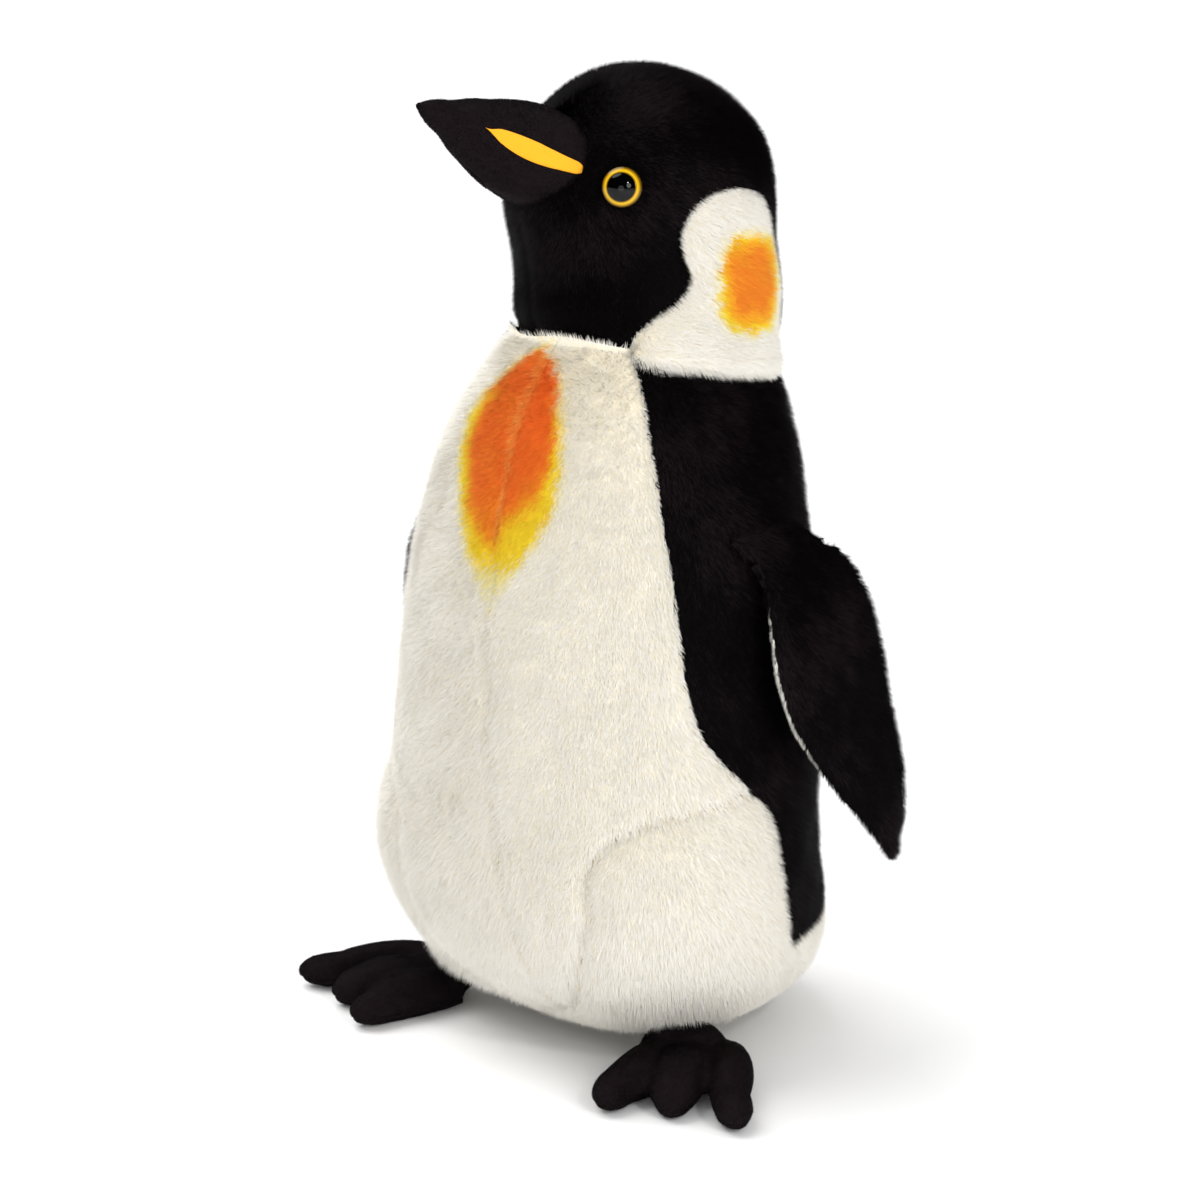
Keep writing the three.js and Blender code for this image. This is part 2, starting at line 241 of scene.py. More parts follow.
class Skin:
    """A grid of points around (first index, closed) and along (second index) a stuffed body."""

    def __init__(self, nodes, filling, centres, directions, place=Matrix()):
        self.names = list(nodes)
        self.place = place
        reach, owners = self.cast(nodes, filling, centres, directions)
        self.shares = np.stack([owners == k for k in range(len(nodes))], axis=-1).astype(float)
        self.points = centres + directions * self.blurred(reach, 3.0)[..., None]
        self.solve_normals()

    def cast(self, nodes, filling, centres, directions, far=0.3, skin=5.3 * MM):
        """How far out the skin lies along each ray, and which panel it is."""
        back = self.place.inverted()
        verts, faces, face_owner = [], [], []
        for index, name in enumerate(list(nodes) + [filling]):
            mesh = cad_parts[name].data
            start = len(verts)
            verts += [back @ v.co for v in mesh.vertices]
            faces += [[start + i for i in face.vertices] for face in mesh.polygons]
            face_owner += [index] * len(mesh.polygons)
        tree = BVHTree.FromPolygons(verts, faces)
        reach = np.full(centres.shape[:2], np.nan)
        owners = np.zeros(centres.shape[:2], int)
        for i, j in np.ndindex(owners.shape):
            ray = Vector(directions[i, j])
            hit, _, face, gone = tree.ray_cast(Vector(centres[i, j]) + ray * far, -ray)
            if hit is None or gone > far:
                owners[i, j] = owners[i, j - 1]
                continue
            reach[i, j], owners[i, j] = far - gone, face_owner[face]
            if owners[i, j] == len(nodes):  # the ray went through the gap between two panels
                reach[i, j] += skin
                owners[i, j] = owners[i, j - 1] if j else owners[i - 1, j]
        for row in reach:
            known = np.flatnonzero(~np.isnan(row))
            row[:] = np.interp(np.arange(len(row)), known, row[known])
        return reach, owners

    @staticmethod
    def blurred(field, sigma):
        reach, steps, kernel = smoothing(sigma)
        around = sum(w * np.roll(field, s, axis=0) for w, s in zip(kernel, steps))
        pad = [(0, 0)] * field.ndim
        pad[1] = (reach, reach)
        ends = np.pad(around, pad, mode="reflect", reflect_type="odd")
        length = field.shape[1]
        return sum(w * ends[:, reach + s:reach + s + length] for w, s in zip(kernel, steps))

    def solve_normals(self):
        across = np.roll(self.points, -1, axis=0) - np.roll(self.points, 1, axis=0)
        up = np.gradient(self.points, axis=1)
        self.normals = unit(np.cross(across, up))

    def move(self, distance):
        """Moves every point out along its normal."""
        self.points = self.points + self.normals * np.asarray(distance)[..., None]
        self.solve_normals()

    def extend(self, neck, amounts, slope, stand, curl, at_end, run=24 * MM, rows=SKIRT_ROWS):
        """Lets one end stand out over a run from the neck, and adds rows past it that slope out and curl in.
        amounts, stand and curl are lengths for each step around."""
        into = neck.inverted() @ self.place
        end = -1 if at_end else 0
        local = placed(into, self.points)
        near = ramp(run, 0, np.abs(local[..., 2] - local[:, end, 2][:, None])) * stand[:, None]
        self.points = placed(into.inverted(), local + unit(local * [1, 1, 0]) * near[..., None])
        edge = placed(into, self.points[:, end])
        outward = unit(edge * [1, 1, 0])
        added = []
        for share in np.arange(1, rows + 1) / rows:
            out = np.abs(amounts) * share * slope - curl * share ** 3
            spot = edge + (amounts * share)[:, None] * [0, 0, 1] + outward * out[:, None]
            added.append(placed(into.inverted(), spot))
        added = np.stack(added if at_end else added[::-1], 1)
        shares = np.repeat(self.shares[:, [end]], rows, axis=1)
        order = [(self.points, self.shares), (added, shares)][::1 if at_end else -1]
        self.points, self.shares = (np.concatenate(parts, 1) for parts in zip(*order))
        self.solve_normals()

    def widen(self, panel, neighbour, distance):
        """One panel takes over its neighbour's pile up to a distance from their seam."""
        gains, loses = self.names.index(panel), self.names.index(neighbour)
        taken = (self.labels() == loses) & (self.seam([panel], [neighbour]) < distance)
        moved = self.shares[..., loses] * taken
        self.shares[..., loses] -= moved
        self.shares[..., gains] += moved
        self.shares = self.blurred(self.shares, 1.0)

    def labels(self):
        return self.shares.argmax(-1)

    def seam(self, first, second):
        """How far each point is from the seam between two groups of panels."""
        labels = self.labels()
        marks = []
        for axis in (0, 1):
            other = np.roll(labels, -1, axis=axis)
            ahead = np.roll(self.points, -1, axis=axis)
            first_set, second_set = ([self.names.index(n) for n in group] for group in (first, second))
            here_first, there_first = np.isin(labels, first_set), np.isin(other, first_set)
            here_second, there_second = np.isin(labels, second_set), np.isin(other, second_set)
            pairs = (here_first & there_second) | (here_second & there_first)
            if axis == 1:
                pairs[:, -1] = False
            lead = self.shares[..., first_set].sum(-1) - self.shares[..., second_set].sum(-1)
            after = np.roll(lead, -1, axis=axis)
            share = np.clip(lead / np.where(np.abs(lead - after) < 1e-6, 1e-6, lead - after), 0, 1)[..., None]
            marks.append((self.points + (ahead - self.points) * share)[pairs])
        return nearest(self.points.reshape(-1, 3), np.concatenate(marks)).reshape(labels.shape)

    def quads(self):
        count_around, count_along = self.points.shape[:2]
        i, j = np.meshgrid(np.arange(count_around), np.arange(count_along - 1), indexing="ij")
        ahead = (i + 1) % count_around
        here, beside = i * count_along + j, ahead * count_along + j
        return np.stack([here, beside, beside + 1, here + 1], -1).reshape(-1, 4)

    def surface(self):
        """Points and normals in the row's frame, and the grid's faces."""
        points = placed(self.place, self.points.reshape(-1, 3))
        normals = placed(self.place, self.normals.reshape(-1, 3), turn_only=True)
        return points, normals, self.quads()


def placed(place, points, turn_only=False):
    matrix = np.array(place)
    moved = points @ matrix[:3, :3].T
    return moved if turn_only else moved + matrix[:3, 3]


# ---- Meshes ----

def add_mesh(name, verts, faces, materials, face_material=None, normals=None):
    """An object from arrays: verts (n, 3), faces (m, 3 or 4)."""
    mesh = bpy.data.meshes.new(name)
    corners = faces.shape[1]
    mesh.vertices.add(len(verts))
    mesh.vertices.foreach_set("co", np.ascontiguousarray(verts, np.float32).ravel())
    mesh.loops.add(faces.size)
    mesh.loops.foreach_set("vertex_index", np.ascontiguousarray(faces, np.int32).ravel())
    mesh.polygons.add(len(faces))
    mesh.polygons.foreach_set("loop_start", np.arange(0, faces.size, corners, dtype=np.int32))
    for made in materials:
        mesh.materials.append(made)
    if face_material is not None:
        mesh.polygons.foreach_set("material_index", np.ascontiguousarray(face_material, np.int32))
    mesh.update(calc_edges=True)
    mesh.validate()
    mesh.shade_smooth()
    if normals is not None:
        mesh.normals_split_custom_set_from_vertices(np.ascontiguousarray(normals, np.float32))
    return add_object(name, mesh)


BACKING_THICKNESS = 1.2 * MM  # the knit under the pile
CLOTH_THICKNESS = 1.0 * MM  # flippers, beak and feet
FELT_THICKNESS = 1.6 * MM


def thick_sheet(verts, normals, faces, thickness):
    """A sheet's front, its back and the walls around its edge, as one closed shell."""
    used, flat = np.unique(faces, return_inverse=True)
    front = flat.reshape(faces.shape)
    count = len(used)
    points = np.concatenate([verts[used], verts[used] - normals[used] * thickness])
    edges = np.concatenate([front[:, [k, (k + 1) % 4]] for k in range(4)])
    keys = {tuple(edge) for edge in edges.tolist()}
    rim = np.array([edge for edge in edges.tolist() if (edge[1], edge[0]) not in keys])
    walls = np.stack([rim[:, 1], rim[:, 0], rim[:, 0] + count, rim[:, 1] + count], -1)
    return points, np.concatenate([front, front[:, ::-1] + count, walls])


def stand_for(piece, body, node):
    """The piece takes a CAD node's place, on its body unless that is None."""
    if body:
        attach(piece, body)
    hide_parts(node)


# ---- Pile: tapered blades that lean along the nap ----

def scatter(verts, quads, fields, count, rng, density=None):
    """Random points over a surface with the fields' values there, weighted by area and density."""
    corners = verts[quads]
    area = np.linalg.norm(np.cross(corners[:, 2] - corners[:, 0], corners[:, 3] - corners[:, 1]), axis=-1)
    if density is not None:
        area = area * density[quads].mean(1)
    chosen = rng.choice(len(quads), count, p=area / area.sum())
    u, v = rng.random((2, count))
    weights = np.stack([(1 - u) * (1 - v), u * (1 - v), u * v, (1 - u) * v], -1)
    picked = quads[chosen]
    return {
        key: np.einsum("nk,nk...->n...", weights, value[picked])
        for key, value in {"point": verts, **fields}.items()
    }


def grow(spots, length, width, rng, stand=0.5, mess=0.16):
    """Blades at the spots: verts (n, 3, 3) and normals. stand is how upright they are, from 0 to 1."""
    root, normal, nap = spots["point"], unit(spots["normal"]), spots["nap"]
    count = len(root)
    wander = rng.normal(size=(count, 3)) * mess
    lean = tangent(nap + wander + 1e-6, normal)
    upright = np.clip(stand + rng.normal(size=(count, 1)) * 0.09, 0.12, 0.95)
    reach = (length * rng.uniform(0.7, 1.1, count))[:, None]
    tip = root + unit(normal * upright + lean * (1 - upright)) * reach
    side = unit(np.cross(normal, lean)) * (width * rng.uniform(0.8, 1.2, count))[:, None] / 2
    verts = np.stack([root + side, root - side, tip], 1)
    shade = unit(normal + rng.normal(size=(count, 3)) * 0.07 - lean * 0.12)
    return verts, shade


BLADES = {"torso": 620000, "head": 230000, "flipper": 80000, "beak": 45000, "foot": 60000}
BLADES_EACH = 190000  # the most blades in one piece
BLADE_WIDTH = 0.42 * MM


def add_pile(name, body, blades, chosen, colours):
    """The chosen blades as pieces of at most BLADES_EACH, with a material for each colour they have."""
    verts, shade = blades
    members = np.flatnonzero(chosen)
    members = members[np.argsort(verts[members, 2, 2], kind="stable")]
    bands = np.array_split(members, math.ceil(len(members) / BLADES_EACH))
    pieces = []
    for number, band in enumerate(bands):
        corners = verts[band].reshape(-1, 3).copy()
        corners[:, 2] = np.maximum(corners[:, 2], 0.3 * MM)
        present, index = np.unique(colours[band], return_inverse=True)
        materials = [pile_material(PILE_NAMES[k]) for k in present]
        label = name if len(bands) == 1 else f"{name}_{number + 1}"
        faces = np.arange(len(corners)).reshape(-1, 3)
        piece = add_mesh(label, corners, faces, materials, index, np.repeat(shade[band], 3, axis=0))
        if body:
            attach(piece, body)
        pieces.append(piece)
    return pieces


def pick(rng, chances):
    """A colour for each blade from {colour: chance}, where a chance may be an array."""
    names = list(chances)
    table = stacked(*[np.asarray(chances[name], float) for name in names])
    table = np.cumsum(table / table.sum(-1, keepdims=True), -1)
    draw = rng.random(table.shape[:-1])[..., None]
    chosen = (draw > table).sum(-1)
    return np.array([PILE_NAMES.index(name) for name in names])[np.minimum(chosen, len(names) - 1)]


def black_colours(point, rng):
    """Black pile, with lighter patches painted in as sheen where the nap would catch the light."""
    sheen_patches = np.clip(0.1 + 0.5 * ripple(point, 0.06, 71) + 0.15 * ripple(point, 0.012, 73), 0, 0.85)
    return pick(rng, {"coal": 1 - sheen_patches, "coal_sheen": sheen_patches})


def add_nap(name, body, verts, normals, quads, count, seed):
    """A very short, dense pile over a whole surface."""
    rng = np.random.default_rng(seed)
    fields = {"normal": normals, "nap": ripple_vector(verts, 0.02, seed)}
    spots = scatter(verts, quads, fields, count, rng, np.where(normals[:, 2] < -0.8, 0.2, 1.0))
    blades = grow(spots, 1.1 * MM, 0.22 * MM, rng, mess=0.5)
    add_pile(name, body, blades, np.ones(count, bool), black_colours(spots["point"], rng))


# ---- Backing cloth ----

def knit_material(name, code, second, scale=900, specular=0.2):
    """Knitted backing: its two threads' colours mixed by noise, for a little colour variation."""
    made = material(name, code, roughness=0.9, specular=specular)
    nodes, links = made.node_tree.nodes, made.node_tree.links
    where = nodes.new("ShaderNodeTexCoord")
    noise = nodes.new("ShaderNodeTexNoise")
    noise.inputs["Scale"].default_value = scale
    noise.inputs["Detail"].default_value = 3
    mix = nodes.new("ShaderNodeMix")
    mix.data_type = "RGBA"
    mix.inputs["A"].default_value = linear(code)
    mix.inputs["B"].default_value = linear(second)
    links.new(where.outputs["Object"], noise.inputs["Vector"])
    links.new(noise.outputs["Fac"], mix.inputs["Factor"])
    links.new(mix.outputs["Result"], made.node_tree.nodes["Principled BSDF"].inputs["Base Color"])
    return made


def plain_cloth(name):
    """Backing cloth in one of the pile's colours."""
    if name not in cloths:
        cloths[name] = knit_material("knit_" + name, PILE_COLOURS[name], SECOND_COLOURS[name])
    return cloths[name]


def dyed_material():
    """Ivory backing that takes up the dye painted on its points."""
    made = knit_material("knit_dyed", PILE_COLOURS["ivory"], SECOND_COLOURS["ivory"])
    nodes, links = made.node_tree.nodes, made.node_tree.links
    paint = nodes.new("ShaderNodeAttribute")
    paint.attribute_name = "dye"
    mix = next(node for node in nodes if node.type == "MIX")
    mix.blend_type = "MULTIPLY"
    links.new(paint.outputs["Color"], mix.inputs["A"])
    return made


def dye_at(points, colours, rng, draws=14, spread=1.6 * MM):
    """The mean colour of the pile around each point. colours picks a colour for each point it is given."""
    table = np.array([linear(code) for code in PILE_COLOURS.values()])
    ivory = np.full(len(points), PILE_NAMES.index("ivory"))
    total = np.zeros((len(points), 4))
    for _ in range(draws):
        total += table[colours(points + rng.normal(size=points.shape) * spread, rng, ivory)]
    return total / draws


def add_backing(name, body, skin, panel, dye, node):
    """One panel's cloth under its pile. dye has a colour for each point of the skin, or is None for black."""
    verts, normals, quads = skin.surface()
    shares = skin.shares.reshape(-1, skin.shares.shape[-1])[quads].mean(1)
    mine = shares.argmax(-1) == panel
    points, faces = thick_sheet(verts, normals, quads[mine], BACKING_THICKNESS)
    piece = add_mesh(name, points, faces, [plain_cloth("coal") if dye is None else dyed_knit])
    if dye is not None:
        used = np.unique(quads[mine])
        layer = piece.data.attributes.new("dye", "FLOAT_COLOR", "POINT")
        both_faces = dye[np.concatenate([used, used])]
        layer.data.foreach_set("color", np.ascontiguousarray(both_faces, np.float32).ravel())
    stand_for(piece, body, node)


def dress(skin, body, label, blades, colours, dye):
    """Backing and pile for each panel of a skin. label is the panel each blade grows on."""
    for panel, node in enumerate(skin.names):
        dark = node.startswith(("back", "head_side"))
        add_backing(node + "_cloth", body, skin, panel, None if dark else dye, node)
        add_pile(node + "_pile", body, blades, label == panel, colours)


# ---- Body ----

NECK_CENTRE = Vector((0, 0.036, 0.436))
NECK_TILT = math.radians(8)  # its axis leans back
NECK_RADIUS = 0.086
NECK = Matrix.Translation(NECK_CENTRE) @ Matrix.Rotation(-NECK_TILT, 4, "X")
HEAD_TURN = math.radians(-20)
TORSO_NODES = [
    "base_panel", "belly_left", "belly_right", "thigh_left", "thigh_right", "back_left", "back_right"]
PILE_INSET = 5.0 * MM  # from the outside of the pile to its backing
# The belly's seam: height, x.
SEAM_DRIFT = np.array([[85, 31], [145, 19], [200, 12], [270, 7], [340, 3], [440, 0]]) * MM
FRINGE = (0.098, -0.06)  # x and y of the middle of the longer pile over each foot

# The dyed patch on the chest: height, then its edges' x.
PATCH = np.array([
    [296, 4, 8], [308, -4, 14], [327, -20, 25], [345, -30, 33], [362, -38, 37], [380, -47, 35],
    [395, -50, 31], [410, -44, 24], [425, -31, 16], [435, -21, 6], [441, -10, -4]]) * MM


def torso_rays(around=216, along=130):
    """Rays from the middle of the body: down and outwards below, level above, up to the neck's ring."""
    low_centre, below = 0.1, 0.34  # height of the rays' lowest start, and the share of rows that start there
    angle = turns(around)
    share = np.linspace(0, 1, along)[None]
    climb = np.clip((share - below) / (1 - below), 0, 1)
    top = NECK_CENTRE.z - 0.4 * MM + NECK_RADIUS * math.sin(NECK_TILT) * np.cos(angle)
    elevation = np.radians(-88) * np.clip(1 - share / below, 0, 1)
    height = low_centre + climb * (top - low_centre)
    middle = 0.006 + (NECK_CENTRE.y - 0.006) * climb ** 2
    level = np.cos(elevation)
    directions = stacked(level * np.sin(angle), -level * np.cos(angle), np.sin(elevation))
    return stacked(0 * angle, middle, height), directions


def seam_x(height):
    return np.interp(height, SEAM_DRIFT[:, 0], SEAM_DRIFT[:, 1])


def collar(angle):
    """1 at the throat, where the chest's pile stands over the head's edge, and 0 past the cheeks' front."""
    off = np.degrees(np.abs((angle - HEAD_TURN + math.pi) % (2 * math.pi) - math.pi))
    return ramp(74, 58, off)


def torso_skin():
    skin = Skin(TORSO_NODES, "torso_stuffing", *torso_rays())
    skin.move(-PILE_INSET)
    ring = np.arange(len(skin.points)) / len(skin.points) * 2 * math.pi
    front = collar(ring)
    uneven = 1 + 0.5 * np.sin(7 * ring + 1)
    amounts, stand = (1.5 + 2.8 * front * uneven) * MM, (3.2 * front - 1.5) * MM
    skin.extend(NECK, amounts, -0.1, stand, 0.6 * MM * front, at_end=True)
    local = placed(NECK.inverted(), skin.points)
    throat = collar(np.arctan2(local[..., 0], -local[..., 1]))
    skin.collar = ramp(-7 * MM, 0, local[..., 2]) * throat
    skin.fringe = ramp(-2 * MM, 1 * MM, local[..., 2]) * throat
    left, right = TORSO_NODES.index("belly_left"), TORSO_NODES.index("belly_right")
    belly = skin.shares[..., left] + skin.shares[..., right]
    is_left = skin.points[..., 0] > seam_x(skin.points[..., 2])
    skin.shares[..., left] = belly * is_left
    skin.shares[..., right] = belly * ~is_left
    skin.shares = skin.blurred(skin.shares, 1.7)
    # High on the body's right the ivory reaches a little further round to the back than on its left.
    height = skin.points[..., 2]
    further = 15 * MM * ramp(0.22, 0.33, height) + 10 * MM * ramp(0.36, 0.42, height)
    skin.widen("belly_right", "back_right", further)
    bellies, thighs = ["belly_left", "belly_right"], ["thigh_left", "thigh_right"]
    backs = ["back_left", "back_right"]
    skin.centre_seam = skin.seam(["belly_left"], ["belly_right"])
    skin.thigh_seam = skin.seam(thighs, bellies)
    skin.side_seam = skin.seam(backs, bellies + thighs + ["base_panel"])
    skin.back_seam = skin.seam(["back_left"], ["back_right"])
    thigh = sum(skin.shares[..., TORSO_NODES.index(name)] for name in thighs)
    points = skin.points
    skin.move(
        -1.2 * MM * bell(skin.centre_seam, 3.5 * MM) * ramp(0.45, 0.3, points[..., 2])
        - 2.2 * MM * bell(skin.thigh_seam, 4 * MM) * ramp(0.2, 0.14, points[..., 2])
        - 1.0 * MM * bell(skin.thigh_seam, 4 * MM)
        - 1.2 * MM * bell(skin.side_seam, 4 * MM)
        - 1.2 * MM * bell(skin.back_seam, 4 * MM)
        + 3.0 * MM * thigh * ramp(2 * MM, 24 * MM, skin.thigh_seam)
        + 1.4 * MM * ripple(points, 0.10, 1) + 0.5 * MM * ripple(points, 0.035, 2))
    return skin


def by_heat(heat, steps, names):
    """A colour for each point: the names go from cool to hot and change at the steps."""
    return np.array([PILE_NAMES.index(name) for name in names])[np.searchsorted(steps, heat, side="right")]


def airbrushed(presence, dyed, base, rng):
    """Dyed where there is dye, straw at its faint edge, and the base colour elsewhere."""
    draw = rng.random(len(dyed))
    faint = (presence < 0.7) & (draw < presence * 1.6)
    return np.where(faint, PILE_NAMES.index("straw"), np.where(draw < presence, dyed, base))


def chest_colours(point, rng, base):
    """Airbrushed dye: rust and orange inside, amber and yellow towards the edges and the lower tip."""
    x, z = point[:, 0], point[:, 2]
    inset = np.minimum(x - np.interp(z, PATCH[:, 0], PATCH[:, 1]), np.interp(z, PATCH[:, 0], PATCH[:, 2]) - x)
    inset = np.minimum(inset, np.minimum(z - PATCH[0, 0], PATCH[-1, 0] - z) + 2 * MM)
    inset = inset + (1.5 * ripple(point, 0.009, 31) + 1.2 * rng.normal(size=len(x))) * MM
    on_front = point[:, 1] < 0
    tip_fade = 0.3 + 0.7 * ramp(0.3, 0.33, z)
    presence = ramp(-4.5 * MM, 3.5 * MM, inset) * on_front * tip_fade
    beside = x - seam_x(z)
    lower_end = np.where(beside > 0, 0.346 + 0.9 * beside, 0.336)  # the height where red turns to yellow
    rim = np.where(beside > 0, 18 - 8 * ramp(0.355, 0.38, z), 18) * MM  # yellow to this far inside the edge
    heat = ramp(rim / 6, rim, inset) * ramp(-32 * MM, 32 * MM, z - lower_end)
    red_top = ramp(0.404, 0.422, z) * ramp(-1 * MM, 5 * MM, inset)
    heat = np.maximum(heat, red_top) * np.where(beside > 0, 1, 0.84)
    heat = np.clip(heat + 0.1 * ripple(point, 0.02, 33) + 0.12 * rng.normal(size=len(x)), 0, 1)
    dyed = by_heat(heat, [0.26, 0.45, 0.76], ["yellow", "amber", "orange", "rust"])
    # Lighter peach blades in a band beside the chest's seam: a painted highlight.
    seam_highlight = (beside > (-4 - 4 * ramp(0.36, 0.41, z)) * MM) & (beside < 0.5 * MM) & (z > 0.335)
    seam_highlight &= rng.random(len(x)) < 0.45 + 0.3 * ripple(point, 0.01, 39)
    dyed = np.where(seam_highlight & (heat > 0.4), PILE_NAMES.index("peach"), dyed)
    return airbrushed(presence, dyed, base, rng)


def combed(direction, normals, verts, seed):
    """The nap: a direction along the surface, with short and long waves in it."""
    nap = tangent(direction, normals) + 0.1 * ripple_vector(verts, 0.016, seed)
    return nap + 0.2 * ripple_vector(verts, 0.05, seed + 10)


def build_torso(skin, count):
    rng = np.random.default_rng(11)
    verts, normals = skin.points.reshape(-1, 3), skin.normals.reshape(-1, 3)
    down = np.zeros_like(normals) + [0, 0.15, -1]
    down[:, 2] += 0.6 * skin.collar.reshape(-1) + 2.2 * skin.fringe.reshape(-1)
    fields = {
        "normal": normals, "nap": combed(down, normals, verts, 41),
        "shares": skin.shares.reshape(len(verts), -1), "collar": skin.collar.reshape(-1),
        "centre": skin.centre_seam.reshape(-1), "thigh": skin.thigh_seam.reshape(-1),
    }
    density = np.where(normals[:, 2] < -0.9, 0.25, 1.0)
    spots = scatter(verts, skin.quads(), fields, count, rng, density)
    z = spots["point"][:, 2]
    label = spots["shares"].argmax(-1)
    black = label >= TORSO_NODES.index("back_left")
    thigh = (label == TORSO_NODES.index("thigh_left")) | (label == TORSO_NODES.index("thigh_right"))
    length = np.where(black, 7.2, 6.6) * MM * (1 + 0.08 * ripple(spots["point"], 0.02, 61))
    from_foot = np.hypot(np.abs(spots["point"][:, 0]) - FRINGE[0], spots["point"][:, 1] - FRINGE[1])
    fringe = thigh * ramp(0.06, 0.045, z) * (0.3 + 0.8 * bell(from_foot, 0.04))
    length = length * (1 + fringe) * ramp(0, 0.03, z + 0.016) * (1 - 0.25 * spots["collar"])
    blades = grow(spots, length, BLADE_WIDTH, rng, np.where(black, 0.5, 0.62)[:, None])
    # Tan blades along the thigh seams and the lower centre seam: painted shade in the creases.
    crease_shade = 0.35 * bell(spots["thigh"], 2 * MM) + 0.3 * bell(spots["centre"], 1.5 * MM) * ramp(0.31, 0.28, z)
    white = pick(rng, {"ivory": 0.55, "ivory_bright": 0.25, "ivory_warm": 0.2, "crease_shade": 0.6 * crease_shade})
    colours = np.where(black, black_colours(spots["point"], rng), chest_colours(spots["point"], rng, white))
    # The backing's dye is averaged from these colours, so the painted highlight beside the seam is in it too.
    dress(skin, "torso", label, blades, colours, dye_at(verts, chest_colours, rng))


# ---- Head, in the frame of the neck seam ----

HEAD_PLACE = NECK @ Matrix.Rotation(HEAD_TURN, 4, "Z")
HEAD_NODES = ["head_side_left", "head_side_right", "cheek_left", "cheek_right"]
EYE_PLACE = Vector((64, -62.5, 94)) * MM
EYE_FACING = math.radians(52)  # how far each eye looks to its side
EYE_RADIUS = 12 * MM
BEAK_PLACE = HEAD_PLACE @ Matrix.Translation((0, -0.080, 0.105)) @ Matrix.Rotation(math.radians(-16), 4, "X")
BEAK_HALF = (41 * MM, 27 * MM)  # half width and half height where it leaves the face
CHEEK_PATCH = {"centre": (23 * MM, 44 * MM), "half": (26 * MM, 31 * MM)}  # back from the neck's axis, and up


def to_left(points):
    """Points mirrored to the penguin's left side."""
    return np.abs(points) * [1, 0, 0] + points * [0, 1, 1]


def head_rays(around=160, along=96):
    """Rays out of the middle of the head: level from the neck up, then up over the crown."""
    level_share, middle = 0.4, np.array([0, -0.012, 0.075])
    angle = turns(around)
    share = np.linspace(0, 1, along)[None]
    climb = np.clip(share / level_share, 0, 1)
    elevation = np.radians(89.5) * np.clip((share - level_share) / (1 - level_share), 0, 1)
    height = 0.8 * MM + climb * (middle[2] - 0.8 * MM)
    level = np.cos(elevation)
    directions = stacked(level * np.sin(angle), -level * np.cos(angle), np.sin(elevation))
    return stacked(0 * angle, middle[1] * climb, height), directions


def cheek_drop(angle):
    """1 where a cheek's pile hangs over the body, 0 at the throat and the nape."""
    off = np.degrees(np.abs((angle + math.pi) % (2 * math.pi) - math.pi))
    return ramp(49, 57, off) * ramp(152, 120, off)


def head_skin():
    skin = Skin(HEAD_NODES, "head_stuffing", *head_rays(), place=HEAD_PLACE)
    skin.move(-PILE_INSET)
    drop = cheek_drop(np.arange(len(skin.points)) / len(skin.points) * 2 * math.pi)
    amounts, stand = -(3 + 6 * drop) * MM, (7.5 * drop - 3.5) * MM
    skin.extend(HEAD_PLACE, amounts, 0.5, stand, (1 + 4 * drop) * MM, at_end=False)
    skin.shares = skin.blurred(skin.shares, 1.5)
    low_front = ramp(0.05, 0.008, skin.points[..., 2]) * (skin.points[..., 1] < 0.02)
    for name, _ in SIDES:
        skin.widen(f"cheek_{name}", f"head_side_{name}", 14 * MM * low_front)
    cheeks = ["cheek_left", "cheek_right"]
    sides = ["head_side_left", "head_side_right"]
    cheek_seam = skin.seam(cheeks, sides)
    middle_seam = skin.seam(sides[:1], sides[1:])
    cheek = sum(skin.shares[..., HEAD_NODES.index(name)] for name in cheeks)
    points = skin.points
    eye_gap = nearest(to_left(points.reshape(-1, 3)), np.array([EYE_PLACE])).reshape(cheek.shape)
    skin.move(
        -1.4 * MM * bell(cheek_seam, 4 * MM)
        + 3.0 * MM * cheek * ramp(1 * MM, 18 * MM, cheek_seam)
        - 1.6 * MM * bell(middle_seam, 4 * MM) * ramp(0.09, 0.06, points[..., 2])
        - 2.0 * MM * bell(eye_gap, 15 * MM)
        - 1.0 * MM * bell(points[..., 2], 5 * MM) * (1 - cheek)
        + 1.0 * MM * ripple(points, 0.08, 3) + 0.4 * MM * ripple(points, 0.03, 4))
    return skin


def cheek_colours(point, rng, base):
    """The dyed patch on each cheek: orange, with yellow at its lower front edge."""
    y, z = point[:, 1], point[:, 2]
    off_y = (y - CHEEK_PATCH["centre"][0]) / CHEEK_PATCH["half"][0]
    off_z = (z - CHEEK_PATCH["centre"][1]) / CHEEK_PATCH["half"][1]
    edge = 1 - (np.abs(off_y) ** 3 + np.abs(off_z) ** 3) ** (1 / 3)
    edge = edge + 0.06 * ripple(point, 0.012, 35) + 0.05 * rng.normal(size=len(y))
    presence = ramp(-0.1, 0.14, edge)
    heat = ramp(0.05, 0.4, edge) * ramp(-1.0, -0.45, off_z) * ramp(-1.1, -0.5, off_y + 0.35 * off_z)
    heat = np.clip(heat + 0.12 * ripple(point, 0.02, 37) + 0.1 * rng.normal(size=len(y)), 0, 1)
    dyed = by_heat(heat, [0.12, 0.38, 0.85], ["yellow", "amber", "marigold", "orange"])
    return airbrushed(presence, dyed, base, rng)


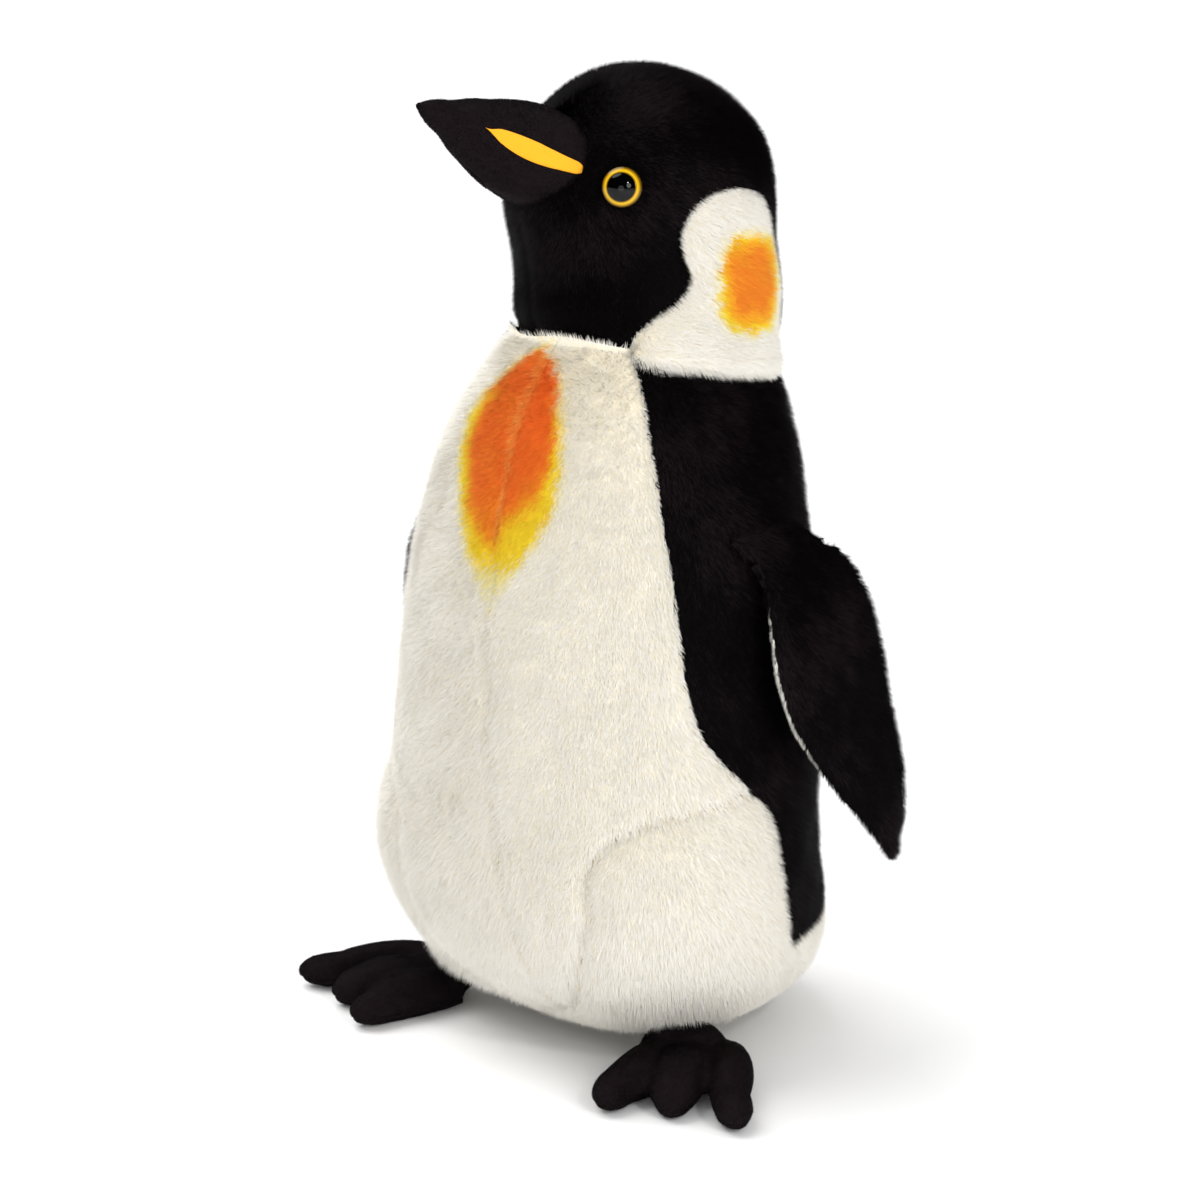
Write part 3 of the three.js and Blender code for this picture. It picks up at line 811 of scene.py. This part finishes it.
def build_head(skin, count):
    rng = np.random.default_rng(13)
    verts, normals = skin.points.reshape(-1, 3), skin.normals.reshape(-1, 3)
    nap = combed(np.zeros_like(normals) + [0, 0.75, -0.65], normals, verts, 43)
    fields = {"normal": normals, "nap": nap, "shares": skin.shares.reshape(len(verts), -1)}
    spots = scatter(verts, skin.quads(), fields, count, rng)
    eye_gap = np.linalg.norm(to_left(spots["point"]) - np.array(EYE_PLACE), axis=-1)
    to_beak = placed((HEAD_PLACE.inverted() @ BEAK_PLACE).inverted(), spots["point"])
    in_beak = (to_beak[:, 0] / BEAK_HALF[0]) ** 2 + (to_beak[:, 2] / BEAK_HALF[1]) ** 2 < 0.9
    keep = (eye_gap >= EYE_RADIUS * 0.97) & ~(in_beak & (to_beak[:, 1] < 0))
    spots = {key: value[keep] for key, value in spots.items()}
    point = spots["point"]
    label = spots["shares"].argmax(-1)
    white = label >= HEAD_NODES.index("cheek_left")
    by_eye = 0.6 + 0.4 * ramp(EYE_RADIUS, EYE_RADIUS + 6 * MM, eye_gap[keep])  # shorter around the eyes
    length = np.where(white, 6.8, 7.0) * MM * by_eye
    length = length * np.where(white, 1, 0.3 + 0.7 * ramp(3 * MM, 16 * MM, point[:, 2]))
    ivory = pick(rng, {"ivory": np.full(len(point), 0.55), "ivory_bright": 0.3, "ivory_warm": 0.15})
    colours = np.where(white, cheek_colours(point, rng, ivory), black_colours(point, rng))
    dye = dye_at(verts, cheek_colours, rng)
    for key in ("point", "normal", "nap"):
        spots[key] = placed(skin.place, spots[key], turn_only=key != "point")
    blades = grow(spots, length, BLADE_WIDTH, rng, np.where(white, 0.62, 0.5)[:, None])
    dress(skin, "head", label, blades, colours, dye)


# ---- Beak ----

def beak_rays(around=96, along=64):
    """Rays out of the beak's axis: square to it along the beak, then turning forward at its tip."""
    level_share, last = 0.8, 0.078
    angle = turns(around)
    share = np.linspace(0, 1, along)[None]
    climb = np.clip(share / level_share, 0, 1)
    turn = np.radians(89.5) * np.clip((share - level_share) / (1 - level_share), 0, 1)
    directions = stacked(np.cos(turn) * np.cos(angle), -np.sin(turn), np.cos(turn) * np.sin(angle))
    return stacked(0 * angle, 0.004 - climb * (last + 0.004), 0 * angle), directions


def beak_skin():
    skin = Skin(["beak_left", "beak_right"], "beak_stuffing", *beak_rays(), place=BEAK_PLACE)
    points = skin.points
    on_seam = np.abs(points[..., 0]) + 40 * MM * (np.abs(points[..., 2]) < 2 * MM)
    skin.move(0.3 * MM * ripple(points, 0.02, 5) + 0.5 * MM * ripple(points, 0.05, 6)
              - 1.8 * MM * ramp(-0.058, -0.076, points[..., 1])
              - 0.7 * MM * bell(on_seam, 1.6 * MM) * ramp(-0.084, -0.07, points[..., 1]))
    return skin


def build_beak(skin):
    verts, normals, quads = skin.surface()
    side = skin.points.reshape(-1, 3)[quads][..., 0].mean(1)
    add_nap("beak_nap", "head", verts, normals, quads, BLADES["beak"], 23)
    for name, sign in SIDES:
        points, faces = thick_sheet(verts, normals, quads[side * sign > 0], CLOTH_THICKNESS)
        piece = add_mesh(f"beak_{name}_cloth", points, faces, [nap_cloth])
        stand_for(piece, "head", f"beak_{name}")


STRIPE = {  # height of the felt's edges by how far forward they are, in the head's frame
    "forward": np.array([79, 94, 109, 123, 134]) * MM,
    "top": np.array([105.5, 110.5, 116.5, 120.5, 121.2]) * MM,
    "bottom": np.array([99, 101, 104.5, 111.5, 121]) * MM,
}


def build_stripe(skin, name, sign):
    """A felt leaf laid on the beak's side, with a stitched-down edge."""
    place = HEAD_PLACE.inverted() @ skin.place
    verts = placed(place, skin.points.reshape(-1, 3))
    tree = BVHTree.FromPolygons(verts.tolist(), skin.quads().tolist())
    steps_along, steps_across = 40, 9
    forward = np.linspace(STRIPE["forward"][0], STRIPE["forward"][-1], steps_along)
    edges = (np.polyfit(STRIPE["forward"], STRIPE[key], 3) for key in ("top", "bottom"))
    top, bottom = (np.polyval(edge, forward) for edge in edges)
    middle = (top + bottom) / 2
    half = np.maximum((top - bottom) / 2, 0.1 * MM)
    half = half * np.sqrt(ramp(-3 * MM, 4 * MM, forward - forward[0]))
    half = half * np.sqrt(ramp(0, 9 * MM, forward[-1] - forward))
    sheet, out = [], []
    for y, z, h in zip(forward, middle, half + 0.05 * MM):
        for t in np.linspace(-1, 1, steps_across):
            hit, normal, _, _ = tree.ray_cast(Vector((sign * 0.2, -y, z + h * t)), Vector((-sign, 0, 0)))
            normal = normal if normal.x * sign > 0 else -normal
            sheet.append(hit + normal * (1.5 - 0.5 * abs(t) ** 3) * MM)
            out.append(normal)
    grid = np.arange(steps_along * steps_across).reshape(steps_along, steps_across)
    quads = np.stack([grid[:-1, :-1], grid[1:, :-1], grid[1:, 1:], grid[:-1, 1:]], -1).reshape(-1, 4)
    if sign > 0:
        quads = quads[:, ::-1]
    sheet, out = placed(HEAD_PLACE, np.array(sheet)), placed(HEAD_PLACE, np.array(out), turn_only=True)
    points, faces = thick_sheet(sheet, out, quads, FELT_THICKNESS)
    piece = add_mesh(f"beak_stripe_{name}_felt", points, faces, [felt])
    stand_for(piece, "head", f"beak_stripe_{name}")


# ---- Eyes ----

EYE_PROFILE = [  # radius and height as shares of the eye's radius, from the back to the top of the dome
    (0.97, -0.25), (1.0, -0.2), (1.0, 0.16), (0.985, 0.21), (0.95, 0.255), (0.9, 0.3), (0.84, 0.345),
    (0.78, 0.385), (0.72, 0.42), (0.68, 0.44), (0.66, 0.455), (0.62, 0.49), (0.54, 0.545), (0.45, 0.595),
    (0.35, 0.64), (0.25, 0.67), (0.15, 0.69), (0.07, 0.697), (0.0, 0.7)]


def build_eye(name, sign, around=56):
    heading = sign * EYE_FACING
    out = Vector((math.sin(heading), -math.cos(heading), 0))
    across = Vector((math.cos(heading), math.sin(heading), 0))
    centre = Vector((EYE_PLACE.x * sign, EYE_PLACE.y, EYE_PLACE.z))
    verts, radial = [], []
    for radius, height in EYE_PROFILE:
        for k in range(around):
            turn = 2 * math.pi * k / around
            spoke = across * math.cos(turn) + Vector((0, 0, 1)) * math.sin(turn)
            verts.append(centre + (spoke * radius + out * height) * EYE_RADIUS)
            radial.append(radius)
    grid = np.arange(len(verts)).reshape(len(EYE_PROFILE), around)
    ahead = np.roll(grid, -1, axis=1)
    quads = np.stack([grid[:-1], ahead[:-1], ahead[1:], grid[1:]], -1).reshape(-1, 4)
    piece = add_mesh(f"eye_{name}_dome", placed(HEAD_PLACE, np.array(verts)), quads, [eye_plastic])
    layer = piece.data.attributes.new("radial", "FLOAT", "POINT")
    if len(piece.data.vertices) == len(radial):
        layer.data.foreach_set("value", radial)
    stand_for(piece, "head", f"eye_{name}")


def eye_material():
    made = material("eye_plastic", "#101010", roughness=0.03, specular=0.24)
    nodes, links = made.node_tree.nodes, made.node_tree.links
    radial = nodes.new("ShaderNodeAttribute")
    radial.attribute_name = "radial"
    colours = nodes.new("ShaderNodeValToRGB")
    stops = [(0.0, "#020202"), (0.68, "#020202"), (0.7, "#2c2004"), (0.74, "#9a7410"), (0.8, "#dab01a"),
             (0.87, "#b88c12"), (0.94, "#62480a"), (1.0, "#2e2206")]
    while len(colours.color_ramp.elements) < len(stops):
        colours.color_ramp.elements.new(0.5)
    for element, (position, code) in zip(colours.color_ramp.elements, stops):
        element.position = position
        element.color = linear(code)
    links.new(radial.outputs["Fac"], colours.inputs["Fac"])
    links.new(colours.outputs["Color"], nodes["Principled BSDF"].inputs["Base Color"])
    return made


# ---- Flippers ----

def curve_through(rows, values, fine, softness=2.0):
    """Values at the rows, followed smoothly over the fine steps."""
    drawn = np.interp(fine, rows, values)
    reach, _, kernel = smoothing(softness)
    return np.convolve(np.pad(drawn, reach, mode="reflect", reflect_type="odd"), kernel, mode="valid")


def flipper_form(name, sign, around=44, along=60):
    """The flipper's closed form, from its CAD outline and thickness, and its edges' y and x by height."""
    verts = positions(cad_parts[f"flipper_outer_{name}"].data)
    heights = np.unique(verts[:, 2].round(4))
    rows = [verts[np.abs(verts[:, 2] - z) < 0.1 * MM] for z in heights]
    front, back = [r[:, 1].min() for r in rows], [r[:, 1].max() for r in rows]
    bow = [r[r[:, 1].argmin(), 0] for r in rows]
    outer = [(r[:, 0] * sign).max() - abs(b) for r, b in zip(rows, bow)]
    fine = np.linspace(heights[0], heights[-1], along)
    front, back, bow, outer = (curve_through(heights, v, fine) for v in (front, back, bow, outer))
    turn = turns(around)
    bulge = np.sign(np.sin(turn)) * np.abs(np.sin(turn)) ** 0.8
    across = bow + sign * bulge * (outer - 2.5 * MM).clip(2.0 * MM)
    deep = (front + back) / 2 - (back - front) / 2 * 0.97 * np.cos(turn)
    return stacked(across, deep, fine), (fine, front, back, bow)


def closed_grid(points):
    """The points and faces, as lists, of a grid that is closed around and has a fan at each end."""
    around, along = points.shape[:2]
    verts = points.reshape(-1, 3).tolist() + [points[:, 0].mean(0).tolist(), points[:, -1].mean(0).tolist()]
    faces = []
    for i in range(around):
        here, beside = i * along, (i + 1) % around * along
        faces += [(here + j, beside + j, beside + j + 1, here + j + 1) for j in range(along - 1)]
        faces += [(beside, here, around * along), (here + along - 1, beside + along - 1, around * along + 1)]
    return verts, faces


def inflate(verts, faces, voxel, pressure, cap, frames=18):
    """A stuffed form: remeshed evenly, then blown up as cloth, with no point moving further than the cap."""
    mesh = bpy.data.meshes.new("form")
    mesh.from_pydata(verts, [], faces)
    form = add_object("form", mesh)
    bpy.context.view_layer.objects.active = form
    remesh = form.modifiers.new("even", "REMESH")
    remesh.mode = "VOXEL"
    remesh.voxel_size = voxel
    bpy.ops.object.modifier_apply(modifier="even")
    rest = positions(form.data)
    moved = rest
    cloth_modifier = form.modifiers.new("cloth", "CLOTH")
    settings = cloth_modifier.settings
    settings.quality = 5
    settings.mass = 0.2
    settings.use_pressure = True
    settings.uniform_pressure_force = pressure
    settings.tension_stiffness = settings.compression_stiffness = 12
    settings.bending_stiffness = 0.3
    settings.effector_weights.gravity = 0
    for step in range(1, frames + 1):
        bpy.context.scene.frame_set(step)
    evaluated = form.evaluated_get(bpy.context.evaluated_depsgraph_get())
    moved = positions(evaluated.to_mesh())
    evaluated.to_mesh_clear()
    form.modifiers.remove(cloth_modifier)
    bpy.context.scene.frame_set(1)
    shift = moved - rest
    size = np.linalg.norm(shift, axis=-1, keepdims=True)
    moved = rest + shift * np.minimum(1, cap / np.maximum(size, 1e-9))
    form.data.vertices.foreach_set("co", moved.astype(np.float32).ravel())
    smoother = form.modifiers.new("smooth", "SMOOTH")
    smoother.iterations = 3
    finer = form.modifiers.new("finer", "SUBSURF")
    finer.levels = 1
    bpy.ops.object.modifier_apply(modifier="smooth")
    bpy.ops.object.modifier_apply(modifier="finer")
    result = form.data
    points = positions(result)
    normals = np.array([v.normal for v in result.vertices])
    quads = np.array([list(f.vertices) + [f.vertices[-1]] * (4 - len(f.vertices)) for f in result.polygons])
    bpy.data.objects.remove(form)
    return points, normals, quads


def quad_lists(quads):
    return [list(dict.fromkeys(face)) for face in quads.tolist()]


ROLLED = {"left": -1.3 * MM, "right": 8 * MM}  # how far the black rolls over the front edge, onto the lining


def fold_at_shoulder(piece):
    """Bakes the piece's placement into its mesh points."""
    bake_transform(piece)


def build_flipper(name, sign, count):
    rng = np.random.default_rng(17)
    form, (levels, front, back, bow) = flipper_form(name, sign)
    verts, faces = closed_grid(form)
    if sign < 0:
        faces = [face[::-1] for face in faces]
    points, normals, quads = inflate(verts, faces, 2.8 * MM, 3.0, 3.5 * MM)
    past_front = points[:, 1] - np.interp(points[:, 2], levels, front)
    before_back = np.interp(points[:, 2], levels, back) - points[:, 1]
    out = (points[:, 0] - np.interp(points[:, 2], levels, bow)) * sign
    below_top = points[:, 2].max() - points[:, 2]
    tucked = 6 * ramp(26 * MM, 0, below_top)
    tucked += 6 * bell(past_front, 20 * MM) * ramp(48 * MM, 4 * MM, below_top)
    points[:, 0] -= sign * tucked * MM  # the root goes into the body's pile
    points[:, 1] -= 14 * MM * ramp(24 * MM, 0, below_top) * ramp(34 * MM, 0, before_back)
    bare = ramp(30 * MM, 60 * MM, below_top) * ramp(215 * MM, 175 * MM, below_top)
    face = out + ROLLED[name] * bell(past_front, 9 * MM) * bare + 1.0 * MM  # black above 0
    face = face + 20 * MM * ramp(46 * MM, 26 * MM, below_top)  # the root is black all round
    down = np.zeros_like(normals) + [0, 0.25, -1]
    nap = tangent(down, normals) + 0.15 * ripple_vector(points, 0.016, 45)
    edge = bell(np.minimum(np.abs(past_front), np.abs(before_back)), 7 * MM)
    fields = {"normal": normals, "nap": nap, "face": face, "edge": edge}
    spots = scatter(points, quads, fields, count, rng)
    outer = spots["face"] > 0
    length = np.where(outer, 6.5 - 3.2 * spots["edge"], 2.6) * MM
    blades = grow(spots, length, 0.4 * MM, rng)
    colours = np.where(outer, black_colours(spots["point"], rng),
                       pick(rng, {"ivory": np.full(count, 0.5), "ivory_bright": 0.5}))
    dark_face = face[quads].mean(1) > -1.5 * MM
    core = form.mean(0, keepdims=True)
    fibre_form = (core + (form - core) * [0.4, 0.75, 1])[:, 16:-8]
    label = f"flipper_fibre_{name}"
    filling = build_filling(label, None, f"flipper_stuffing_{name}", *closed_grid(fibre_form))
    fold_at_shoulder(filling)
    for node, dark in (("flipper_outer", True), ("flipper_lining", False)):
        shell, shell_faces = thick_sheet(points, normals, quads[dark_face == dark], CLOTH_THICKNESS)
        cloth = plain_cloth("coal" if dark else "ivory")
        piece = add_mesh(f"{node}_{name}_cloth", shell, shell_faces, [cloth])
        stand_for(piece, None, f"{node}_{name}")
        fold_at_shoulder(piece)
        for pile in add_pile(f"{node}_{name}_pile", None, blades, outer == dark, colours):
            fold_at_shoulder(pile)


# ---- Feet ----

ANKLE = {"left": Vector((98, -41, 18)) * MM, "right": Vector((-98, -41, 18)) * MM}
SPLAY = math.radians(33)
PADDING = [  # lumps of filling in each foot, from the ankle in millimetres, with x to the foot's outside
    {"centre": (0, -44, -5), "radii": (19, 38, 14), "turn": 0},
    {"centre": (34, -38, -5), "radii": (14, 44, 14), "turn": 4},
    {"centre": (-25, -34, -5), "radii": (15, 38, 13), "turn": -18},
]


def lump(centre, radii, turn, around=20, along=11):
    """A ball stretched by its radii, turned about +Z."""
    heading = turns(around)
    climb = np.radians(np.linspace(-85, 85, along))[None]
    ball = stacked(np.cos(climb) * np.cos(heading), np.cos(climb) * np.sin(heading), np.sin(climb))
    place = Matrix.Translation(Vector(centre) * MM) @ Matrix.Rotation(math.radians(turn), 4, "Z")
    return placed(place, ball * np.array(radii) * MM)


def build_foot(name, sign):
    verts, faces = [], []
    mirror = Matrix.Diagonal((sign, 1, 1, 1))
    ankle = Matrix.Translation(ANKLE[name]) @ Matrix.Rotation(sign * SPLAY, 4, "Z") @ mirror
    for padding in PADDING:
        lump_verts, lump_faces = closed_grid(placed(ankle, lump(**padding)))
        faces += [[len(verts) + i for i in face[::sign]] for face in lump_faces]
        verts += lump_verts
    for node in ("foot_upper", "foot_sole", "foot_stuffing"):
        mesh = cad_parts[f"{node}_{name}"].data
        start = len(verts)
        verts += [v.co[:] for v in mesh.vertices]
        faces += [[start + i for i in face.vertices] for face in mesh.polygons]
    points, normals, quads = inflate(verts, faces, 3.4 * MM, 4.0, 2.5 * MM)
    points[:, 2] = np.maximum(points[:, 2], 0.4 * MM)
    seam_height = 7 * MM
    points = points - normals * (0.9 * MM * bell(points[:, 2] - seam_height, 1.3 * MM))[:, None]
    build_filling(f"foot_fibre_{name}", f"foot_{name}", f"foot_stuffing_{name}",
                  (points - normals * 1.6 * MM).tolist(), quad_lists(quads))
    add_nap(f"foot_nap_{name}", f"foot_{name}", points, normals, quads, BLADES["foot"], 29)
    middle = points[quads][..., 2].mean(1)
    for node, mine in (("foot_upper", middle > seam_height), ("foot_sole", middle <= seam_height)):
        shell, shell_faces = thick_sheet(points, normals, quads[mine], CLOTH_THICKNESS)
        piece = add_mesh(f"{node}_{name}_cloth", shell, shell_faces, [nap_cloth])
        stand_for(piece, f"foot_{name}", f"{node}_{name}")


# ---- Fillings: smaller closed forms that stay inside the cloth ----

def build_filling(name, body, node, verts, faces):
    mesh = bpy.data.meshes.new(name)
    mesh.from_pydata(verts, [], faces)
    mesh.materials.append(fibre)
    mesh.shade_smooth()
    piece = add_object(name, mesh)
    stand_for(piece, body, node)
    return piece


def fill_skin(name, body, skin, node, inset, rows=slice(None), step=4):
    """The filling inside a skin, without the rows that hang past the neck."""
    points = (skin.points - skin.normals * inset)[:, rows][::step, ::step]
    build_filling(name, body, node, *closed_grid(placed(skin.place, points)))


def finish_washers():
    """The eyes' washers sit inside the head. They keep the CAD's shape, in moulded white plastic."""
    plastic = knit_material("washer_plastic", "#ecebe6", "#dad8d0", scale=250)
    for name, _ in SIDES:
        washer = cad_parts[f"eye_washer_{name}"]
        washer.data.materials.clear()
        washer.data.materials.append(plastic)


dyed_knit = dyed_material()
nap_cloth = knit_material("nap_black", "#120c0f", "#1c1518", scale=600, specular=0.08)
felt = knit_material("felt_amber", "#f7b42c", "#ee9f1c", scale=1500)
fibre = knit_material("fibre_white", "#efefec", "#e0e0dc", scale=200)
eye_plastic = eye_material()
finish_washers()

add_camera()
add_stage()
torso = torso_skin()
build_torso(torso, BLADES["torso"])
fill_skin("torso_fibre", "torso", torso, "torso_stuffing", 4 * MM, slice(None, -SKIRT_ROWS))
head = head_skin()
build_head(head, BLADES["head"])
fill_skin("head_fibre", "head", head, "head_stuffing", 4 * MM, slice(SKIRT_ROWS, None))
beak = beak_skin()
build_beak(beak)
fill_skin("beak_fibre", "head", beak, "beak_stuffing", 3 * MM)
for side_name, side_sign in SIDES:
    build_stripe(beak, side_name, side_sign)
    build_eye(side_name, side_sign)
    build_flipper(side_name, side_sign, BLADES["flipper"])
    build_foot(side_name, side_sign)
